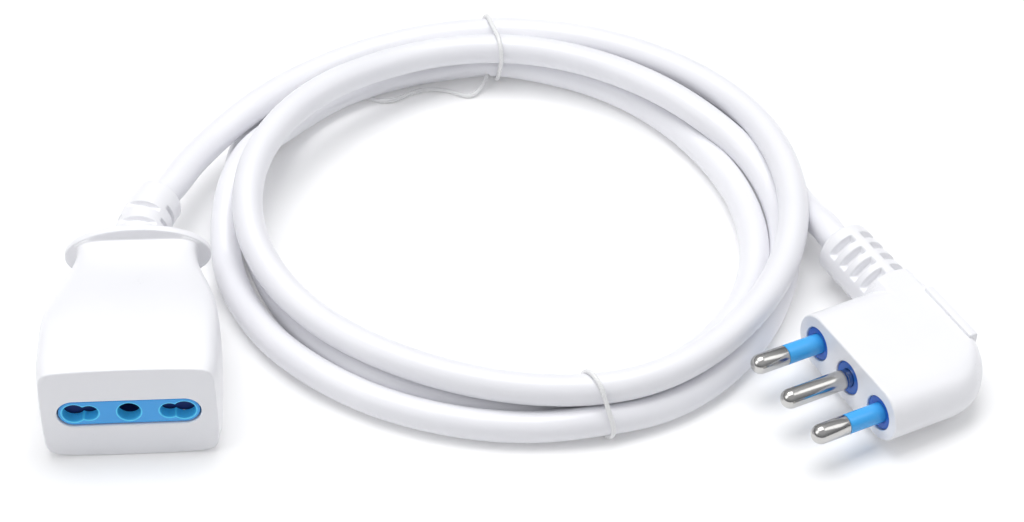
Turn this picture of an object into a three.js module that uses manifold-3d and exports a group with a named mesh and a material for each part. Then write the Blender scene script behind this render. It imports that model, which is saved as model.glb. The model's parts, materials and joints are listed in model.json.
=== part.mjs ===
// Extension cord: an in-line socket and a right-angle plug, joined by a mains cable that lies
// wound in a flat coil and is held by two wire ties.
// Millimetres, +Z up. The origin is on the resting surface, under the middle of the socket.
// The socket's mating face looks towards -Y and its cable leaves towards +Y.

import * as THREE from 'three';
import { mergeVertices } from 'three/addons/utils/BufferGeometryUtils.js';
import Module from 'manifold-3d';

const wasm = await Module();
wasm.setup();

// ---------------------------------------------------------------- driving dimensions

const fitGap = 0.3; // clearance between pieces that touch

// socket housing
const housingLength = 57;
const faceWidth = 41.8;
const faceHeight = 28.4;
const faceSquareness = 11; // exponent of the rounded outline; 2 is an ellipse
const cheekBulge = 0.7; // each side swells by this much just behind the face
const waistWidth = 29.8;
const waistHeight = 11.8;
const waistSquareness = 6;
const flangeWidth = 36.4;
const flangeHeight = 17.8;
const flangeThickness = 2.2;
const flangeSquareness = 2.2;
const flangeFillet = 0.8; // between the waist and the flange
const shoulderStart = 12; // where the housing starts to narrow
const footFlat = 0.35; // depth of the flat under the housing

// socket insides
const rowWidth16 = 26; // outer pin pitch of the 16 A pattern
const rowWidth10 = 19; // outer pin pitch of the 10 A pattern
const pinDiameter16 = 5;
const pinDiameter10 = 4;
const holeEase = 0.5; // how much wider than its pin a hole is
const insertWidth = 33.5;
const insertHeight = 7.5;
const insertThickness = 3;
const insertRecess = 0.4;
const shutterThickness = 3;
const shutterTravel = 6;
const shutterLap = 0.35; // how far a closed tab covers past the hole's edge
const shutterBarHeight = 2.1;
const shutterFloor = 2.6; // lower wall under the shutter's slot
const shutterSlotTop = 18.4;
const carrierWall = 1.6; // beside the outermost clip
const carrierHeight = 13;
const carrierLength = 19.6;
const leafGap = 3.9; // free space between the leaves of a clip
const leafThickness = 0.8;
const clipLength = 14;
const tailLength = 6;
const tailDiameter = 3.2;
const earthClipDiameter = 7.2;
const earthClipBore = 5.4;
const earthBore = 7.8; // the carrier's hole for the earth clip
const coreDiameter = 2.9;
const pressedCoreDiameter = 2.7; // where the plug's boot squeezes the cores
const coreCircle = 4.3; // diameter of the circle on which the three cores lie in the cable
const tunnelDiameter = 8.8;

// springs
const springWire = 0.4;
const springDiameter = 2.6;
const springTurns = 4;
const springSpread = 12.4; // distance of each spring from the middle

// cable and coil
const cableDiameter = 7.8;
const coilCentre = new THREE.Vector2(94, 43.6);
const coilOuterRadius = 76.3;
const coilInnerRadius = 58.5;
const coilHeight = 15.4;

// wire ties
const tieWire = 1.2;
const frontTieAngle = -75.5;
const backTieAngle = 91.5;

// strain reliefs
const socketReliefLength = 19.8;
const socketReliefBase = 13.6;
const socketReliefEnd = 12.6;
const socketSlotStart = 5.4; // from the boot's cable end to the middle of its first slot
const socketSlotPitch = 2.95;
const socketReliefBend = 24; // degrees, towards +X
const plugReliefLength = 20;
const plugReliefDiameter = 14.4;
const plugSlotStart = 4.9; // from the boot's cable end to the middle of its first slot
const plugSlotPitch = 4.4;
const channelNearY = -11; // where the wide part of the cores' channel in the plug ends
const coreBendY = 15; // how far its narrow part reaches towards the near side

// plug
const plugPosition = new THREE.Vector3(171.9, -20.6, 9.92); // middle pin, on the pin face
const plugYaw = 27.1;
const plugPitch = 4.6; // pins point slightly up
const plugRoll = 2.2;
const plugDepth = 33.2;
const plugWidth = 40.6;
const plugThickness = 14.4;
const plugCornerRadius = 15;
const plugReliefDepth = 26.2; // from the pin face to the relief's axis
const ridgeLength = 19;
const ridgeStart = 8.2; // from the plug's far side
const ridgeHeight = 0.7;
const ridgeWidth = 2.4;
const ridgeInset = 0.5; // from the rear edge
const pinLength = 19;
const pinInner = 9; // length of a pin behind the face
const sleeveLength = 9.3;
const sleeveWall = 0.45;
const sleeveInner = 5;
const collarDiameter = 8.6;
const collarRecess = 0.4;
const collarLength = 3;
const bridgeThickness = 6;
const bridgeHeight = 8.8;
const bridgeWidth = 35.4;
const crimpLength = 5;
const crimpDiameter = 3.6;
const crimpTailDiameter = 1.8;

// ---------------------------------------------------------------- materials

function plastic(color, roughness) {
  return new THREE.MeshStandardMaterial({ color, roughness, metalness: 0 });
}

function metal(color, roughness) {
  return new THREE.MeshStandardMaterial({ color, roughness, metalness: 1 });
}

const whiteVinyl = plastic(0xf7f7fa, 0.38);
const cableVinyl = plastic(0xf6f6f9, 0.42);
const blueInsert = plastic(0x3d96d6, 0.4);
const blueSleeve = plastic(0x2f9be8, 0.35);
const shutterPlastic = plastic(0x20264f, 0.45);
const brass = metal(0xc9a44a, 0.35);
const nickel = metal(0xc8c8cc, 0.18);
const springSteel = metal(0xb4b4b8, 0.3);
const tiePlastic = plastic(0xf0f0ee, 0.3);
const brownCore = plastic(0x6b3e22, 0.5);
const blueCore = plastic(0x2b62b5, 0.5);
const earthCore = plastic(0xb8c22e, 0.5);

// ---------------------------------------------------------------- solids

function solid(geometry) {
  const bare = geometry.clone();
  bare.deleteAttribute('normal');
  bare.deleteAttribute('uv');
  const merged = mergeVertices(bare, 1e-5);
  const mesh = new wasm.Mesh({
    numProp: 3,
    vertProperties: new Float32Array(merged.attributes.position.array),
    triVerts: new Uint32Array(merged.index.array),
  });
  return new wasm.Manifold(mesh);
}

function geometryOf(manifold) {
  const result = manifold.getMesh();
  const geometry = new THREE.BufferGeometry();
  geometry.setAttribute('position', new THREE.BufferAttribute(result.vertProperties, 3));
  geometry.setIndex(new THREE.BufferAttribute(result.triVerts, 1));
  return geometry;
}

function cut(geometry, tools) {
  let body = solid(geometry);
  for (const tool of tools) {
    body = body.subtract(solid(tool));
  }
  return geometryOf(body);
}

function join(geometries) {
  let body = solid(geometries[0]);
  for (const other of geometries.slice(1)) {
    body = body.add(solid(other));
  }
  return geometryOf(body);
}

// A closed skin through rings of points. Seen along the path, each ring runs clockwise.
function loft(rings) {
  const count = rings[0].length;
  const points = rings.flat();
  const first = points.length;
  for (const ring of [rings[0], rings.at(-1)]) {
    const middle = new THREE.Vector3();
    for (const point of ring) {
      middle.addScaledVector(point, 1 / count);
    }
    points.push(middle);
  }
  const faces = [];
  for (let i = 0; i < rings.length - 1; i++) {
    for (let j = 0; j < count; j++) {
      const a = i * count + j;
      const b = i * count + ((j + 1) % count);
      faces.push(a, b, b + count, a, b + count, a + count);
    }
  }
  const last = (rings.length - 1) * count;
  for (let j = 0; j < count; j++) {
    const next = (j + 1) % count;
    faces.push(first, next, j);
    faces.push(first + 1, last + j, last + next);
  }
  const geometry = new THREE.BufferGeometry();
  geometry.setFromPoints(points);
  geometry.setIndex(faces);
  return geometry;
}

// A box given by its lowest and highest corners.
function block(low, high) {
  const size = high.map((value, i) => value - low[i]);
  const middle = high.map((value, i) => (value + low[i]) / 2);
  return new THREE.BoxGeometry(...size).translate(...middle);
}

// A rod along +Y that starts at y and is centred on x, z.
function rodY(x, y, z, diameter, length, sides = 16) {
  const rod = new THREE.CylinderGeometry(diameter / 2, diameter / 2, length, sides);
  return rod.translate(x, y + length / 2, z);
}

// A rod along +X that starts at x and is centred on y, z.
function rodX(x, y, z, diameter, length, sides = 16) {
  const rod = new THREE.CylinderGeometry(diameter / 2, diameter / 2, length, sides);
  return rod.rotateZ(-Math.PI / 2).translate(x + length / 2, y, z);
}

// A turned piece along +X: the profile gives [distance along the axis, radius].
function turnedX(profile, x, y, z, sides = 16) {
  const outline = profile.map(([along, radius]) => new THREE.Vector2(radius, along));
  const piece = new THREE.LatheGeometry(outline, sides);
  return piece.rotateZ(-Math.PI / 2).translate(x, y, z);
}

// A round tube along a curve.
function tube(curve, diameter, sides, steps) {
  const section = new THREE.Shape();
  for (let i = 0; i < sides; i++) {
    const angle = (i / sides) * 2 * Math.PI;
    const x = (diameter / 2) * Math.cos(angle);
    const y = (diameter / 2) * Math.sin(angle);
    if (i === 0) section.moveTo(x, y);
    else section.lineTo(x, y);
  }
  section.closePath();
  return new THREE.ExtrudeGeometry(section, { extrudePath: curve, steps, bevelEnabled: false });
}

function smoothPath(points) {
  const vectors = points.map((point) => new THREE.Vector3(...point));
  return new THREE.CatmullRomCurve3(vectors, false, 'centripetal');
}

function smoothstep(t) {
  return t * t * (3 - 2 * t);
}

function mix(a, b, t) {
  return a + (b - a) * t;
}

// Bends a piece that stands along +Y from y = 0, so that its end turns towards +X.
function bendTowardsX(geometry, length, degrees) {
  const turn = THREE.MathUtils.degToRad(degrees);
  const radius = length / turn;
  const position = geometry.attributes.position;
  for (let i = 0; i < position.count; i++) {
    const angle = (position.getY(i) / length) * turn;
    const reach = radius - position.getX(i);
    position.setX(i, radius - reach * Math.cos(angle));
    position.setY(i, reach * Math.sin(angle));
  }
  return geometry;
}

function mesh(name, geometry, material) {
  const result = new THREE.Mesh(geometry, material);
  result.name = name;
  return result;
}

// ---------------------------------------------------------------- socket

const faceY = -housingLength / 2;
const rearY = housingLength / 2;
const axisZ = faceHeight / 2;
const holeRadius16 = (pinDiameter16 + holeEase) / 2;
const holeRadius10 = (pinDiameter10 + holeEase) / 2;

const insertFrontY = faceY + insertRecess;
const insertBackY = insertFrontY + insertThickness;
const shutterFrontY = insertBackY + fitGap;
const shutterBackY = shutterFrontY + shutterThickness;
const slotBackY = shutterBackY + fitGap;
const carrierFrontY = slotBackY + fitGap;
const carrierBackY = carrierFrontY + carrierLength;
const chamberBackY = carrierBackY + fitGap;

const clipInnerX = rowWidth10 / 2 - pinDiameter10 / 2 - 0.2;
const clipOuterX = rowWidth16 / 2 + pinDiameter16 / 2 + 0.2;
const clipMiddleX = (clipInnerX + clipOuterX) / 2;
const clipFrontY = carrierFrontY + 1;
const clipBackY = clipFrontY + clipLength;
const carrierHalfWidth = clipOuterX + fitGap + carrierWall;

const tabLow = axisZ - holeRadius16 - shutterLap;
const tabHigh = tabLow + shutterTravel;
const tabInnerX = rowWidth10 / 2 - holeRadius10 - 0.6;
const tabOuterX = rowWidth16 / 2 + holeRadius16 + 0.6;
const legWidth = 2.2;
const barLow = tabLow - shutterBarHeight - fitGap;

// One cross-section of the housing: a rounded rectangle with bowed sides.
function housingRing(y, halfWidth, halfHeight, squareness) {
  const points = [];
  const sides = 40;
  const bow = 0.05;
  for (let i = 0; i < sides; i++) {
    const angle = ((i + 0.5) / sides) * 2 * Math.PI;
    const s = Math.sin(angle);
    const c = Math.cos(angle);
    const u = Math.sign(s) * Math.abs(s) ** (2 / squareness);
    const v = Math.sign(c) * Math.abs(c) ** (2 / squareness);
    const x = halfWidth * u * (1 - (bow / 2) * v * v);
    const z = halfHeight * v * (1 - bow * u * u);
    points.push(new THREE.Vector3(x, y, axisZ + z));
  }
  return points;
}

function housingShell() {
  const waistY = rearY - flangeThickness - flangeFillet;
  const shoulderY = faceY + shoulderStart;
  const halfHeight = faceHeight / 2 + footFlat;
  const rings = [
    housingRing(faceY, faceWidth / 2 - 0.3, halfHeight - 0.3, faceSquareness),
    housingRing(faceY + 0.6, faceWidth / 2, halfHeight, faceSquareness),
    housingRing(mix(faceY, shoulderY, 0.5), faceWidth / 2 + cheekBulge, halfHeight, faceSquareness),
  ];
  const steps = 7;
  for (let i = 0; i <= steps; i++) {
    const t = i / steps;
    const width = mix(faceWidth / 2 + cheekBulge, waistWidth / 2, smoothstep(t ** 1.6));
    const height = mix(halfHeight, waistHeight / 2, smoothstep(t));
    const squareness = mix(faceSquareness, waistSquareness, t);
    rings.push(housingRing(mix(shoulderY, waistY, t), width, height, squareness));
  }
  // flange: an oval plate with rounded edges, [share of its thickness, share of its rise]
  const flange = [[0, 0.3], [0.12, 0.9], [0.3, 1], [0.7, 1], [0.9, 0.96], [1, 0.86]];
  for (const [along, rise] of flange) {
    const width = mix(waistWidth, flangeWidth, rise) / 2;
    const height = mix(waistHeight, flangeHeight, rise) / 2;
    rings.push(housingRing(rearY - flangeThickness * (1 - along), width, height, flangeSquareness));
  }
  const ground = block([-faceWidth, faceY - 1, -5], [faceWidth, rearY + 1, 0]);
  return cut(loft(rings), [ground]);
}

function stadium(width, height, y, thickness) {
  const radius = height / 2;
  const shape = new THREE.Shape();
  shape.absarc(width / 2 - radius, 0, radius, -Math.PI / 2, Math.PI / 2, false);
  shape.absarc(radius - width / 2, 0, radius, Math.PI / 2, (3 * Math.PI) / 2, false);
  shape.closePath();
  const options = { depth: thickness, bevelEnabled: false, curveSegments: 10 };
  const plate = new THREE.ExtrudeGeometry(shape, options);
  return plate.rotateX(Math.PI / 2).translate(0, y + thickness, axisZ);
}

// The space behind the carrier through which the cores run to the cable.
function coreTunnel() {
  const outerCore = clipMiddleX + coreDiameter / 2;
  const widths = [
    [chamberBackY - 1, outerCore + 1.3, tunnelDiameter / 2],
    [chamberBackY + 4, outerCore + 0.6, tunnelDiameter / 2],
    [mix(chamberBackY, rearY, 0.6), waistWidth / 4, tunnelDiameter / 2],
    [rearY - flangeThickness, tunnelDiameter / 2, tunnelDiameter / 2],
    [rearY + 1, tunnelDiameter / 2, tunnelDiameter / 2],
  ];
  const rings = widths.map(([y, halfWidth, halfHeight]) => housingRing(y, halfWidth, halfHeight, 2));
  return loft(rings);
}

function housing() {
  const open = insertWidth + 2 * fitGap;
  const slotX = tabOuterX + fitGap;
  const chamberX = carrierHalfWidth + fitGap;
  const chamberZ = carrierHeight / 2 + fitGap;
  return cut(housingShell(), [
    stadium(open, insertHeight + 2 * fitGap, faceY - 1, insertThickness + insertRecess + 2),
    block([-slotX, insertBackY, shutterFloor], [slotX, slotBackY, shutterSlotTop]),
    block([-chamberX, slotBackY - 0.1, axisZ - chamberZ], [chamberX, chamberBackY, axisZ + chamberZ]),
    coreTunnel(),
  ]);
}

// Both pin patterns share the middle hole; the outer holes overlap into a figure of eight.
function pinHoles(y, length) {
  const holes = [rodY(0, y, axisZ, 2 * holeRadius16, length, 20)];
  for (const side of [-1, 1]) {
    holes.push(rodY((side * rowWidth16) / 2, y, axisZ, 2 * holeRadius16, length, 20));
    holes.push(rodY((side * rowWidth10) / 2, y, axisZ, 2 * holeRadius10, length, 16));
  }
  return holes;
}

function insert() {
  const plate = stadium(insertWidth, insertHeight, insertFrontY, insertThickness);
  return cut(plate, pinHoles(insertFrontY - 1, insertThickness + 2));
}

// A yoke: two tabs that close the outer holes, joined by a bar under the middle hole.
function shutter() {
  const pieces = [block([-tabInnerX - 0.5, shutterFrontY, barLow],
    [tabInnerX + 0.5, shutterBackY, barLow + shutterBarHeight])];
  for (const side of [-1, 1]) {
    const tab = [side * tabInnerX, side * tabOuterX].sort((a, b) => a - b);
    const leg = [side * tabInnerX, side * (tabInnerX + legWidth)].sort((a, b) => a - b);
    pieces.push(block([tab[0], shutterFrontY, tabLow], [tab[1], shutterBackY, tabHigh]));
    pieces.push(block([leg[0], shutterFrontY, barLow], [leg[1], shutterBackY, tabLow + 1]));
  }
  return join(pieces);
}

function shutterSpring(side) {
  const bottom = shutterFloor + fitGap + springWire / 2;
  const top = tabLow - fitGap - springWire / 2;
  const middleY = (shutterFrontY + shutterBackY) / 2;
  const radius = (springDiameter - springWire) / 2;
  class Helix extends THREE.Curve {
    getPoint(t, target = new THREE.Vector3()) {
      const angle = t * springTurns * 2 * Math.PI;
      const x = side * springSpread + radius * Math.cos(angle);
      return target.set(x, middleY + radius * Math.sin(angle), mix(bottom, top, t));
    }
  }
  return tube(new Helix(), springWire, 5, springTurns * 8);
}

function carrier() {
  const halfHeight = carrierHeight / 2;
  const body = block([-carrierHalfWidth, carrierFrontY, axisZ - halfHeight],
    [carrierHalfWidth, carrierBackY, axisZ + halfHeight]);
  const pocketHeight = leafGap / 2 + leafThickness + fitGap;
  const tools = [rodY(0, carrierFrontY - 1, axisZ, earthBore, carrierLength + 2, 24)];
  for (const side of [-1, 1]) {
    const x = [side * clipInnerX - side * fitGap, side * clipOuterX + side * fitGap];
    x.sort((a, b) => a - b);
    tools.push(block([x[0], carrierFrontY - 1, axisZ - pocketHeight],
      [x[1], carrierBackY + 1, axisZ + pocketHeight]));
  }
  return cut(body, tools);
}


// A folded clip: two leaves that grip a pin of either pattern, a back and a crimp tail.
function pinClip(side) {
  const x = [side * clipInnerX, side * clipOuterX].sort((a, b) => a - b);
  const outer = leafGap / 2 + leafThickness;
  const clip = block([x[0], clipFrontY, axisZ - outer], [x[1], clipBackY, axisZ + outer]);
  const space = block([x[0] - 1, clipFrontY - 1, axisZ - leafGap / 2],
    [x[1] + 1, clipBackY - leafThickness, axisZ + leafGap / 2]);
  return join([cut(clip, [space]), crimpTail(side * clipMiddleX)]);
}

function crimpTail(x) {
  return rodY(x, clipBackY - 0.4, axisZ, tailDiameter, tailLength, 12);
}

function earthClip() {
  const sleeve = rodY(0, clipFrontY, axisZ, earthClipDiameter, clipLength, 24);
  const bore = rodY(0, clipFrontY - 1, axisZ, earthClipBore, clipLength, 20);
  const slit = block([-0.5, clipFrontY - 1, axisZ - 5], [0.5, clipBackY - 4, axisZ + 5]);
  return join([cut(sleeve, [bore, slit]), crimpTail(0)]);
}

// Where a core lies in the round cable: place 0, 1 or 2 of three.
function corePlace(place) {
  const angle = THREE.MathUtils.degToRad(90 + 120 * place);
  return [(coreCircle / 2) * Math.cos(angle), (coreCircle / 2) * Math.sin(angle)];
}

function socketCore(startX, place) {
  const [x, z] = corePlace(place);
  const startY = clipBackY - 0.4 + tailLength + fitGap;
  const endY = rearY - fitGap;
  return tube(smoothPath([
    [startX, startY, axisZ],
    [startX, startY + 2, axisZ],
    [mix(startX, x, 0.5), mix(startY, endY, 0.4), axisZ + z * 0.5],
    [x, mix(startY, endY, 0.72), axisZ + z],
    [x, endY, axisZ + z],
  ]), coreDiameter, 8, 12);
}

// A boot along +Y with slots across it. The profile gives [along, radius] from its base.
function slottedBoot(profile, length, slots) {
  const outline = profile.map(([along, radius]) => new THREE.Vector2(radius, along));
  const boot = new THREE.LatheGeometry(outline, 24);
  const tools = [];
  for (const { along, width, bottom, angles, span } of slots) {
    for (const degrees of angles) {
      const tool = block([-span / 2, along - width / 2, bottom], [span / 2, along + width / 2, length]);
      tools.push(tool.rotateY(THREE.MathUtils.degToRad(degrees)));
    }
  }
  return cut(boot, tools);
}

function socketRelief() {
  const slots = [];
  for (let i = 0; i < 4; i++) {
    slots.push({
      along: socketReliefLength - socketSlotStart - i * socketSlotPitch,
      width: 1.3,
      bottom: cableDiameter / 2 + 0.5,
      angles: i % 2 === 0 ? [90, -90] : [0, 180],
      span: 11,
    });
  }
  const profile = [
    [0, 0],
    [0, socketReliefBase / 2],
    [socketReliefLength - 1, socketReliefEnd / 2 + 0.1],
    [socketReliefLength, socketReliefEnd / 2 - 0.9],
    [socketReliefLength, 0],
  ];
  const boot = slottedBoot(profile, socketReliefLength, slots);
  bendTowardsX(boot, socketReliefLength, socketReliefBend);
  return boot.translate(0, rearY + fitGap, axisZ);
}

function socketPieces() {
  return [
    mesh('socket_housing', housing(), whiteVinyl),
    mesh('socket_insert', insert(), blueInsert),
    mesh('socket_shutter', shutter(), shutterPlastic),
    mesh('shutter_spring_left', shutterSpring(-1), springSteel),
    mesh('shutter_spring_right', shutterSpring(1), springSteel),
    mesh('contact_carrier', carrier(), blueInsert),
    mesh('contact_line', pinClip(1), brass),
    mesh('contact_neutral', pinClip(-1), brass),
    mesh('contact_earth', earthClip(), brass),
    mesh('socket_core_brown', socketCore(clipMiddleX, 2), brownCore),
    mesh('socket_core_blue', socketCore(-clipMiddleX, 1), blueCore),
    mesh('socket_core_earth', socketCore(0, 0), earthCore),
    mesh('socket_strain_relief', socketRelief(), whiteVinyl),
  ];
}

// ---------------------------------------------------------------- cable

// The free cable between the socket's strain relief and the coil.
const socketLeadPoints = [
  [4.25, 48.4, 14.2],
  [5.3, 50.7, 14.1],
  [7.6, 55.2, 13.9],
  [10.7, 61.0, 13.6],
  [14.4, 67.4, 13.1],
  [17.5, 72.1, 12.6],
  [20.2, 75.8, 12.2],
];

// The free cable between the plug's strain relief and the coil.
const plugLeadPoints = [
  [176.65, 27.75, 9.4],
  [175.3, 30.4, 9.5],
  [174.5, 32.9, 9.3],
  [174.0, 34.9, 8.9],
];

function coil() {
  const chamfer = 4.5;
  const profile = [
    [coilInnerRadius, chamfer],
    [coilInnerRadius + chamfer, 0],
    [coilOuterRadius - chamfer, 0],
    [coilOuterRadius, chamfer],
    [coilOuterRadius, coilHeight - chamfer],
    [coilOuterRadius - chamfer, coilHeight],
    [coilInnerRadius + chamfer, coilHeight],
    [coilInnerRadius, coilHeight - chamfer],
    [coilInnerRadius, chamfer],
  ];
  const outline = profile.map(([radius, z]) => new THREE.Vector2(radius, z));
  const ring = new THREE.LatheGeometry(outline, 60).rotateX(Math.PI / 2);
  ring.translate(coilCentre.x, coilCentre.y, coilHeight);
  ring.computeBoundingBox();
  ring.translate(0, 0, -ring.boundingBox.min.z);
  return cut(ring, [tieLoop(frontTieAngle, fitGap), tieLoop(backTieAngle, fitGap)]);
}

// A closed wire loop round the coil's section, at an angle round the coil.
function tieLoop(degrees, extra) {
  const low = tieWire / 2;
  const high = coilHeight + fitGap + tieWire / 2;
  const inner = coilInnerRadius - fitGap - tieWire / 2;
  const outer = coilOuterRadius + fitGap + tieWire / 2;
  const radius = 4.5;
  const outline = [
    [inner + radius, low], [outer - radius, low], [outer, low + radius], [outer, high - radius],
    [outer - radius, high], [inner + radius, high], [inner, high - radius], [inner, low + radius],
  ];
  const across = THREE.MathUtils.degToRad(degrees);
  const direction = new THREE.Vector2(Math.cos(across), Math.sin(across));
  const sideways = new THREE.Vector3(-direction.y, direction.x, 0);
  const halfWire = tieWire / 2 + extra;
  const rings = outline.map(([r, z], i) => {
    const before = outline.at(i - 1);
    const after = outline[(i + 1) % outline.length];
    const along = new THREE.Vector2(after[0] - before[0], after[1] - before[1]).normalize();
    const outwards = new THREE.Vector3(along.y * direction.x, along.y * direction.y, -along.x);
    const middle = new THREE.Vector3(coilCentre.x + r * direction.x, coilCentre.y + r * direction.y, z);
    const ring = [];
    for (let k = 0; k < 6; k++) {
      const angle = (k / 6) * 2 * Math.PI;
      const point = middle.clone();
      point.addScaledVector(outwards, halfWire * Math.cos(angle));
      point.addScaledVector(sideways, halfWire * Math.sin(angle));
      ring.push(point);
    }
    return ring;
  });
  return closedLoop(rings);
}

// A skin through rings that come back to the first one.
function closedLoop(rings) {
  const count = rings[0].length;
  const total = rings.length * count;
  const faces = [];
  for (let i = 0; i < rings.length; i++) {
    for (let j = 0; j < count; j++) {
      const a = i * count + j;
      const b = i * count + ((j + 1) % count);
      const c = (b + count) % total;
      const d = (a + count) % total;
      faces.push(a, b, c, a, c, d);
    }
  }
  const geometry = new THREE.BufferGeometry();
  geometry.setFromPoints(rings.flat());
  geometry.setIndex(faces);
  return geometry;
}

// The back tie's loose end lies inside the coil, doubled back on itself.
const tieTailPoints = [
  [92.3, 98.9, 1.6],
  [89.5, 97.8, 0.9],
  [84.5, 97.4, 0.9],
  [78.5, 98.4, 0.9],
  [72.0, 96.0, 0.9],
  [66.0, 92.8, 0.9],
];

function tiePieces() {
  const loop = tieLoop(backTieAngle, 0);
  const tail = tube(smoothPath(tieTailPoints), tieWire, 6, 16);
  return [
    mesh('tie_front', tieLoop(frontTieAngle, 0), tiePlastic),
    mesh('tie_back', loop, tiePlastic),
    mesh('tie_back_tail', tail, tiePlastic),
  ];
}

function cablePieces() {
  const socketLead = tube(smoothPath(socketLeadPoints), cableDiameter, 12, 7);
  const plugLead = tube(smoothPath(plugLeadPoints), cableDiameter, 12, 4);
  return [
    mesh('cable_socket_lead', socketLead, cableVinyl),
    mesh('cable_coil', coil(), cableVinyl),
    mesh('cable_plug_lead', plugLead, cableVinyl),
    ...tiePieces(),
  ];
}

// ---------------------------------------------------------------- plug
// In the plug's own frame the pin face is at x = 0, the pins point along -X, the row of pins
// runs along Y and the cable leaves towards +Y.

const sideRadius = plugThickness / 2;
const farY = plugWidth / 2;
const bridgeFrontX = collarRecess + collarLength;
const bridgeBackX = bridgeFrontX + bridgeThickness;
const pinBackX = pinInner;
const crimpFrontX = pinBackX + 1.2;
const crimpBackX = crimpFrontX + crimpLength;
const sleeveBore = pinDiameter16 - 2 * sleeveWall;
const pinNeck = sleeveBore - 2 * 0.25;

// One cross-section of the plug: a slot shape with fully rounded ends.
function plugRing(x, nearY, thickness) {
  const radius = thickness / 2;
  const shrink = sideRadius - radius;
  const points = [];
  const arc = 8;
  for (const [side, end] of [[1, farY - shrink], [-1, nearY + shrink]]) {
    for (let i = 0; i <= arc; i++) {
      const angle = side * (Math.PI / 2) - (i / arc) * Math.PI;
      const y = end - side * radius + radius * Math.cos(angle);
      points.push(new THREE.Vector3(x, y, radius * Math.sin(angle)));
    }
  }
  return points.reverse();
}

function plugShell() {
  const cornerX = plugDepth - plugCornerRadius;
  const rings = [plugRing(0, -farY, plugThickness)];
  const steps = 9;
  for (let i = 0; i <= steps; i++) {
    const angle = (i / steps) * (Math.PI / 2) * 0.96;
    const x = cornerX + plugCornerRadius * Math.sin(angle);
    const nearY = -farY + plugCornerRadius * (1 - Math.cos(angle));
    const rounding = Math.max(0, (x - plugDepth + 4) / 4);
    rings.push(plugRing(x, nearY, plugThickness - 4.5 * rounding * rounding));
  }
  return loft(rings);
}

function gripRidge() {
  const top = sideRadius + ridgeHeight;
  const back = plugDepth - ridgeInset;
  const front = back - ridgeWidth;
  const chamfer = 0.4;
  const shape = new THREE.Shape([
    new THREE.Vector2(front, 2),
    new THREE.Vector2(back, 2),
    new THREE.Vector2(back, top - chamfer),
    new THREE.Vector2(back - chamfer, top),
    new THREE.Vector2(front + chamfer, top),
    new THREE.Vector2(front, top - chamfer),
  ]);
  const ridge = new THREE.ExtrudeGeometry(shape, { depth: ridgeLength, bevelEnabled: false });
  return ridge.rotateX(Math.PI / 2).translate(0, farY - ridgeStart, 0);
}

function plugHousing() {
  const tools = [];
  for (const y of pinRow()) {
    tools.push(rodX(-1, y, 0, collarDiameter + 2 * fitGap, bridgeFrontX + 1.5, 24));
  }
  const halfBridge = bridgeHeight / 2 + fitGap;
  const halfRow = bridgeWidth / 2 + fitGap;
  const chamberBack = crimpBackX + 3.5;
  const bridgeRoomBack = bridgeBackX + fitGap;
  tools.push(block([bridgeFrontX - fitGap, -halfRow, -halfBridge], [bridgeRoomBack, halfRow, halfBridge]));
  const crimpRoom = rowWidth16 / 2 + 3;
  tools.push(block([bridgeBackX, -crimpRoom, -halfBridge], [chamberBack, crimpRoom, halfBridge]));
  const channelWidth = tunnelDiameter / 2;
  tools.push(block([chamberBack - 0.5, channelNearY, -4], [plugReliefDepth + channelWidth, farY - 4, 4]));
  tools.push(block([chamberBack - 0.5, -coreBendY, -coreDiameter], [chamberBack + 5, 0, coreDiameter]));
  const exit = new THREE.CylinderGeometry(channelWidth, channelWidth, 12, 24);
  tools.push(exit.translate(plugReliefDepth, farY, 0));
  return cut(join([plugShell(), gripRidge()]), tools);
}

function pinRow() {
  return [rowWidth16 / 2, 0, -rowWidth16 / 2];
}

// The moulding that holds the pins: a bar with three round collars that show in the face.
function pinBridge() {
  const halfHeight = bridgeHeight / 2;
  const pieces = [block([bridgeFrontX, -bridgeWidth / 2, -halfHeight],
    [bridgeBackX, bridgeWidth / 2, halfHeight])];
  const tools = [];
  for (const y of pinRow()) {
    pieces.push(rodX(collarRecess, y, 0, collarDiameter, collarLength + 0.5, 24));
    const bore = y === 0 ? pinDiameter16 : pinDiameter16 + 2 * 0.15;
    tools.push(rodX(collarRecess - 1, y, 0, bore + fitGap, bridgeBackX + 2, 16));
  }
  return cut(join(pieces), tools);
}

function roundTip(profile, radius) {
  const steps = 4;
  for (let i = 0; i <= steps; i++) {
    const angle = (i / steps) * (Math.PI / 2);
    profile.push([-pinLength + radius * (1 - Math.cos(angle)), radius * Math.sin(angle)]);
  }
}

// A live pin: full width at its tip, a neck under its sleeve, and a thin tail for the crimp.
function sleevedPin(y) {
  const profile = [];
  roundTip(profile, pinDiameter16 / 2);
  const sleeveStart = -sleeveLength - fitGap;
  profile.push([sleeveStart, pinDiameter16 / 2]);
  profile.push([sleeveStart, pinNeck / 2]);
  profile.push([pinBackX, pinNeck / 2]);
  profile.push([pinBackX, crimpTailDiameter / 2]);
  profile.push([crimpBackX - 1, crimpTailDiameter / 2]);
  profile.push([crimpBackX - 1, 0]);
  return turnedX(profile, 0, y, 0);
}

function earthPin() {
  const profile = [];
  const radius = pinDiameter16 / 2;
  roundTip(profile, radius);
  profile.push([-2.2, radius]);
  profile.push([-1.6, radius - 0.3]);
  profile.push([pinBackX, radius - 0.3]);
  profile.push([pinBackX, crimpTailDiameter / 2]);
  profile.push([crimpBackX - 1, crimpTailDiameter / 2]);
  profile.push([crimpBackX - 1, 0]);
  return turnedX(profile, 0, 0, 0);
}

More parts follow.
